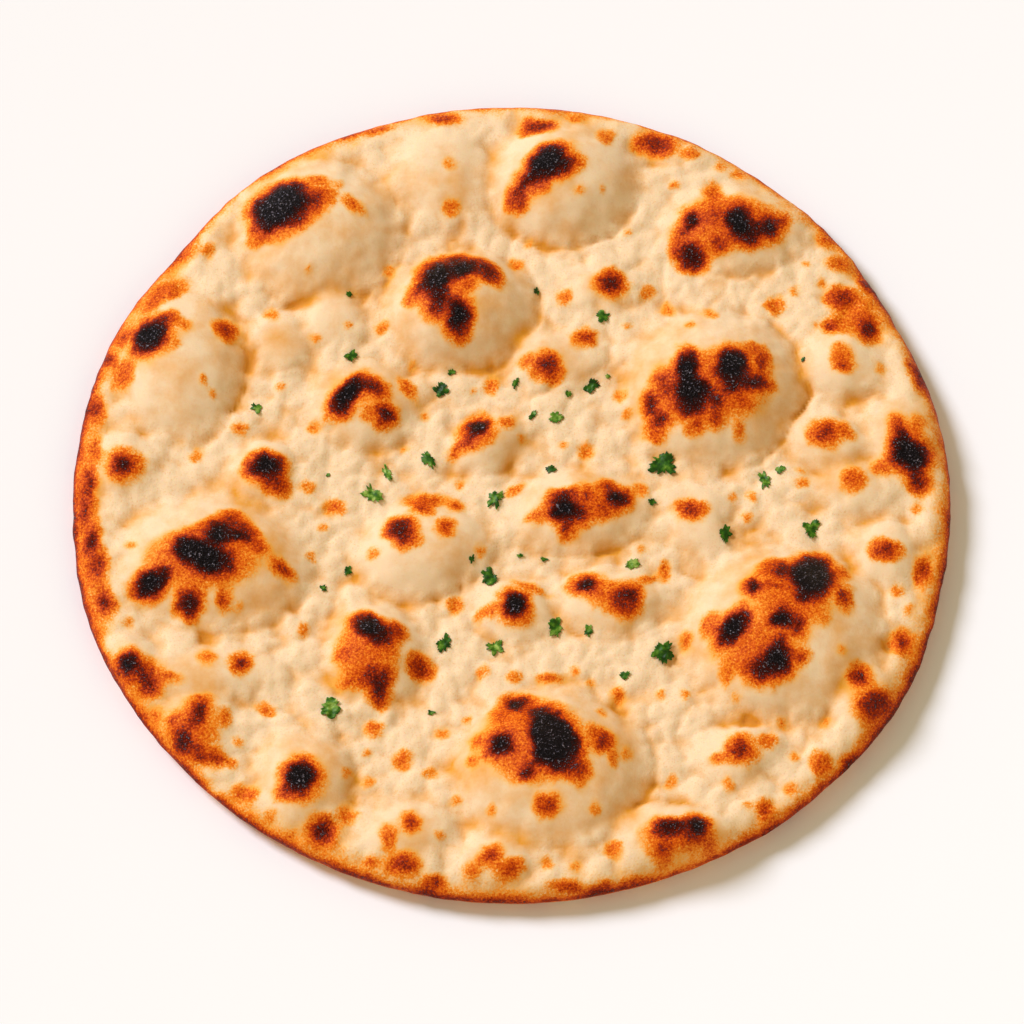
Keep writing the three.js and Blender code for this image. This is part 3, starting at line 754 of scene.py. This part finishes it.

# %% [markdown]
# Pale dough isn't one colour either. It is cream on the lumps, with painted shade in the hollows between
# them: golden, and tan in the deepest creases. It is golden in slow patches too, and a little yellower
# where a blister's skin is stretched, which is painted warm shade standing in for the shade on the
# blisters' sides. Fine grains of crumb show as darker specks.

# %% The crust's finish: pale dough
CREAM = linear(236, 209, 175)
# gold of the slow patches and the toast's glow, and also of the painted shade in hollows
GOLD_AND_SHADE = linear(222, 152, 48)
# painted shade: the colour of the deepest creases
CREASE_SHADE_TAN = linear(200, 128, 50)
where = add(tree, "ShaderNodeTexCoord").outputs["Object"]
patches = add(tree, "ShaderNodeTexNoise", {"Vector": where, "Scale": 110.0, "Detail": 4.0, "Roughness": 0.6})
patchy_gold = math_node(tree, "MULTIPLY_ADD", patches.outputs["Fac"], 1.8, -0.70)
# painted warm shade: stretched blister skin turns a little golden, standing in for the shade on its sides
patches_and_blister_shade = math_node(tree, "MULTIPLY_ADD", stretch_map, 0.30, patchy_gold)
# painted shade: the hollows turn golden
golden_and_shade = math_node(tree, "ADD", hollow_shade_map, patches_and_blister_shade)
golden_and_shade = math_node(tree, "ADD", golden_and_shade, math_node(tree, "MULTIPLY", warm, 0.5), clamp=True)
dough = blend_node(tree, golden_and_shade, CREAM, GOLD_AND_SHADE)
# painted shade: the deepest creases turn tan
crease_shade = math_node(tree, "MULTIPLY", step_node(tree, hollow_shade_map, 0.35, 1.0), 0.7)
dough = blend_node(tree, crease_shade, dough, CREASE_SHADE_TAN)
crumb = math_node(tree, "MULTIPLY_ADD", stretch_map, -0.2, 0.3)  # stretched skin shows less of it
grains = math_node(tree, "MULTIPLY", step_node(tree, specks.outputs["Fine"], 0.54, 0.68), crumb)
dough = blend_node(tree, grains, dough, GOLD_AND_SHADE)
print("pale dough:", len(tree.nodes), "nodes")

# %% [markdown]
# Browning is one ramp from gold through orange and brown to black. Char breaks into clumps, with painted
# highlights on them: grains of pale blue-grey that stand in for glints of light on glossy char. It is a
# little glossier than raw dough, and grittier, so roughness and bump follow the heat as well.

# %% The crust's finish: browning, char and relief
browned = ramp_node(tree, heat_on_ramp, [
    (0.00, linear(246, 206, 132)), (0.13, linear(242, 178, 84)), (0.24, linear(238, 138, 32)),
    (0.36, linear(214, 90, 8)), (0.48, linear(166, 48, 4)), (0.60, linear(112, 24, 4)),
    (0.72, linear(60, 10, 2)), (0.88, linear(14, 8, 12)),
])
colour = blend_node(tree, step_node(tree, heat, 0.06, 0.28), dough, browned)
burnt = step_node(tree, heat, 0.62, 1.0)
clumps = math_node(tree, "MULTIPLY", burnt, step_node(tree, specks.outputs["Coarse"], 0.40, 0.62))
# painted highlights: pale specks on the char's clumps stand in for glints of light
glint_grains = step_node(tree, specks.outputs["Fine"], 0.56, 0.66)
painted_glints = math_node(tree, "MULTIPLY", glint_grains, math_node(tree, "MULTIPLY", clumps, 0.7))
colour = blend_node(tree, painted_glints, colour, linear(158, 150, 168))
rough = ramp_node(tree, heat_on_ramp, [
    (place_on_ramp, (level, level, level, 1))
    for place_on_ramp, level in ((0.0, 0.55), (0.45, 0.5), (0.75, 0.36), (1.0, 0.3))
])
smoothness = math_node(tree, "MULTIPLY_ADD", stretch_map, -0.22, 0.32)
grit = math_node(tree, "MULTIPLY", specks.outputs["Fine"], math_node(tree, "MULTIPLY_ADD", burnt, 2.0, 0.06))
grainy = math_node(tree, "MULTIPLY_ADD", warm, 0.5, smoothness)
relief = math_node(tree, "MULTIPLY_ADD", specks.outputs["Coarse"], grainy, grit)
finish_shader(tree, colour, rough, relief, bump=0.8, depth=0.0006, sockets={
    "Subsurface Weight": 0.2, "Subsurface Radius": (1.0, 0.5, 0.2), "Subsurface Scale": 0.002,
    "Specular IOR Level": 0.08,
})
skin.materials.append(crust)
print("crust finish:", len(tree.nodes), "nodes")

# %% Put the bread in the frame
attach(bread, "root")
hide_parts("bread")
print("bread:", len(skin.polygons), "faces")

# %% [markdown]
# ## Chopped herb
# The flakes are scraps of fresh parsley leaf: thin, dark green, torn at the edges and slightly curled. Each
# starts as a small grid bulged into a disc, its edge is pulled in and out into lobes, and it is bent over
# the crust under it. Place, length and direction are measured on the CAD flake that it stands for.

# %% The herb's finish
herb, tree = new_material("chopped_herb")
leaf = add(tree, "ShaderNodeGroup", {"Scale": 700.0, "Roughness": 0.5}, node_tree=mottle)
shade = add(tree, "ShaderNodeAttribute", attribute_name="shade").outputs["Fac"]
tone = math_node(tree, "MULTIPLY_ADD", leaf.outputs["Coarse"], 1.3, -0.14)
tone = math_node(tree, "MULTIPLY_ADD", shade, 0.3, tone)
green = ramp_node(tree, tone, [
    (0.20, linear(16, 48, 6)), (0.45, linear(36, 84, 10)),
    (0.65, linear(78, 122, 26)), (0.88, linear(150, 176, 84)),
])
leaf_rough = math_node(tree, "MULTIPLY_ADD", leaf.outputs["Fine"], 0.3, 0.3)
leaf_relief = math_node(tree, "MULTIPLY_ADD", leaf.outputs["Fine"], 0.4, leaf.outputs["Coarse"])
finish_shader(tree, green, leaf_rough, leaf_relief, bump=0.5, depth=0.0004, sockets={
    "Subsurface Weight": 0.1, "Subsurface Radius": (0.3, 1.0, 0.1), "Subsurface Scale": 0.0006,
    "Specular IOR Level": 0.2,
})
print("herb finish:", len(tree.nodes), "nodes")

# %% Measure a CAD flake
def measure_flake(name):
    """Middle, direction, half length and half width of a CAD flake, seen from above."""
    corners = np.array([v.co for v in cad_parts[name].data.vertices])
    middle = (corners.min(0) + corners.max(0)) / 2
    flat = (corners - middle)[:, :2]
    axes = np.linalg.eigh(np.cov(flat.T))[1]
    half_width, half_length = np.abs(flat @ axes).max(0)
    return middle, math.atan2(axes[1, 1], axes[0, 1]), half_length, half_width


crust_tree = BVHTree.FromPolygons([Vector(p) for p in place], [p.vertices[:] for p in skin.polygons])


def crust_height(px, py):
    """Height of the finished crust at a place, or of the table beside it."""
    hit = crust_tree.ray_cast(Vector((px, py, 1.0)), Vector((0, 0, -1)))[0]
    return hit.z if hit else float(low[2])


# %% [markdown]
# A scrap's edge is torn by three waves: a few plain lobes, a broad noise and a fine one, all read round a
# ring so that the edge meets itself. The scrap then lies down: it follows the crust under it, but bridges
# part of the way over the dips, as a stiff little leaf does. Last, it is extruded to a leaf's thickness.

# %% Make one leaf scrap
LEAF_CELLS = 16
LEAF_THICKNESS = 0.00022
LEAF_CLEARANCE = 0.00012  # a leaf's points are put at least this far above crust_height, in metres
TORN_AT_LEAST, TORN_AT_MOST = 0.4, 1.3  # how far the edge may be pulled in and out
LIMPNESS = 0.6  # 1 follows every dip of the crust, 0 bridges them all


def leaf_scrap(name, number):
    """A curled, lobed scrap of leaf in the place of the CAD flake with this name."""
    middle, turn, half_length, half_width = measure_flake(name)
    bm = bmesh.new()
    verts = bmesh.ops.create_grid(bm, x_segments=LEAF_CELLS, y_segments=LEAF_CELLS, size=1.0)["verts"]
    lobes = 3 + number % 3
    for v in verts:
        a, b = v.co.x, v.co.y
        p = Vector((a * math.sqrt(1 - b * b / 2), b * math.sqrt(1 - a * a / 2), 0))
        angle = math.atan2(p.y, p.x)
        torn = 0.95 + 0.10 * math.cos(lobes * angle + number)
        for pull, ring, seed in ((0.6, 1.5, number * 3.7), (0.55, 5, number * 1.9)):
            torn += pull * noise.noise((ring * math.cos(angle), ring * math.sin(angle), seed))
        torn = min(max(torn, TORN_AT_LEAST), TORN_AT_MOST)
        p *= 1 + (torn - 1) * p.length
        curl = 0.30 * noise.noise((1.6 * p.x, 1.6 * p.y, number * 2.3))
        curl += 0.16 * (p.x * p.x) * math.sin(number)
        v.co = (p.x * half_length, p.y * half_width, curl * half_width)
    bmesh.ops.rotate(bm, cent=(0, 0, 0), matrix=Matrix.Rotation(turn, 3, "Z"), verts=verts)
    bmesh.ops.translate(bm, vec=(middle[0], middle[1], 0), verts=verts)
    ground = [crust_height(v.co.x, v.co.y) for v in verts]
    level = sum(ground) / len(ground)
    lowest = min(v.co.z for v in verts)
    for v, under in zip(verts, ground):
        bed = LIMPNESS * under + (1 - LIMPNESS) * max(level, under)
        v.co.z = max(bed + v.co.z - lowest * 0.5, under + LEAF_CLEARANCE)
    raised = bmesh.ops.extrude_face_region(bm, geom=bm.faces[:], use_keep_orig=True)["geom"]
    upper = [g for g in raised if isinstance(g, bmesh.types.BMVert)]
    bmesh.ops.translate(bm, vec=(0, 0, LEAF_THICKNESS), verts=upper)
    bmesh.ops.recalc_face_normals(bm, faces=bm.faces)
    mesh = bpy.data.meshes.new(name + "_leaf")
    bm.to_mesh(mesh)
    bm.free()
    mesh.shade_smooth()
    store(mesh, "shade", [noise.noise((number * 1.7, 0.3, 0.9))] * len(mesh.vertices))
    mesh.materials.append(herb)
    piece = bpy.data.objects.new(name + "_leaf", mesh)
    bpy.context.collection.objects.link(piece)
    return piece


# %% Scatter the leaf scraps
flake_names = sorted(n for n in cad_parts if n.startswith("herb_flake_"))
for number, name in enumerate(flake_names):
    piece = leaf_scrap(name, number)
    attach(piece, "root")
    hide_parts(name)
print(len(flake_names), "leaf scraps")

# %% [markdown]
# ## Table, light and camera
# A plain pale table, one large soft light from the back left and a weak fill, as a food studio would use.
# The large light is a sun with a wide disk: it is even all over the table, and still gives soft shadows.
# The camera looks down at 66 degrees with a long lens, which keeps the round bread's proportions.

# %% The table
table, tree = new_material("pale_table")
where = add(tree, "ShaderNodeTexCoord").outputs["Object"]
clouds = add(tree, "ShaderNodeTexNoise", {"Vector": where, "Scale": 6.0}).outputs["Fac"]
table_colour = blend_node(tree, clouds, (0.87, 0.89, 0.99, 1), (0.88, 0.90, 1.0, 1))
finish_shader(tree, table_colour, 0.8, clouds, bump=0.05, depth=0.0005, sockets={})

TABLE_REACH = 40.0  # so far that its edge stays out of low views
TABLE_GAP = 0.0003  # under the bread, so that the two don't share a face
bm = bmesh.new()
bmesh.ops.create_grid(bm, x_segments=1, y_segments=1, size=TABLE_REACH)
bmesh.ops.translate(bm, vec=(0, 0, -TABLE_GAP), verts=bm.verts)
top = bpy.data.meshes.new("table_top")
bm.to_mesh(top)
bm.free()
top.materials.append(table)
floor = bpy.data.objects.new("table_top", top)
bpy.context.collection.objects.link(floor)
print("table laid")

# %% Lights
def soft_light(name, kind, place, power, colour, **shape):
    """A lamp at a place, facing the bread."""
    lamp = bpy.data.lights.new(name, kind)
    lamp.energy, lamp.color = power, colour
    for key, value in shape.items():
        setattr(lamp, key, value)
    holder = bpy.data.objects.new(name, lamp)
    holder.location = place
    holder.rotation_euler = (-Vector(place)).to_track_quat("-Z", "Y").to_euler()
    bpy.context.collection.objects.link(holder)


SOFT_SUN = math.radians(21.5)  # how wide the sun's disk looks; a real one is half a degree
soft_light("key", "SUN", (-0.85, 0.55, 0.85), 3.06, (0.98, 1.0, 1.06), angle=SOFT_SUN)
soft_light("fill", "AREA", (0.5, -0.9, 0.9), 2.6, (1.0, 0.87, 0.60), shape="DISK", size=1.2)
world = bpy.data.worlds.new("studio")
world.use_nodes = True
background = world.node_tree.nodes["Background"]
background.inputs["Color"].default_value = (1.0, 0.81, 0.46, 1)  # warm, as the shade on bread is
background.inputs["Strength"].default_value = 0.46
bpy.context.scene.world = world
bpy.context.scene.view_settings.view_transform = "Standard"

# %% Camera
ELEVATION = math.radians(66)
LENS, SENSOR = 1500.0, 36.0  # mm
ACROSS = 0.256  # width of the view at the bread
AIM = Vector((0, -0.0024, 0.0045))
camera_data = bpy.data.cameras.new("camera")
camera_data.lens, camera_data.sensor_width = LENS, SENSOR
distance = ACROSS * LENS / SENSOR
camera = bpy.data.objects.new("camera", camera_data)
away = Vector((0, -math.cos(ELEVATION), math.sin(ELEVATION)))
camera.location = AIM + away * distance
camera.rotation_euler = away.to_track_quat("Z", "Y").to_euler()
bpy.context.collection.objects.link(camera)
bpy.context.scene.camera = camera
print("camera at", tuple(round(c, 3) for c in camera.location))
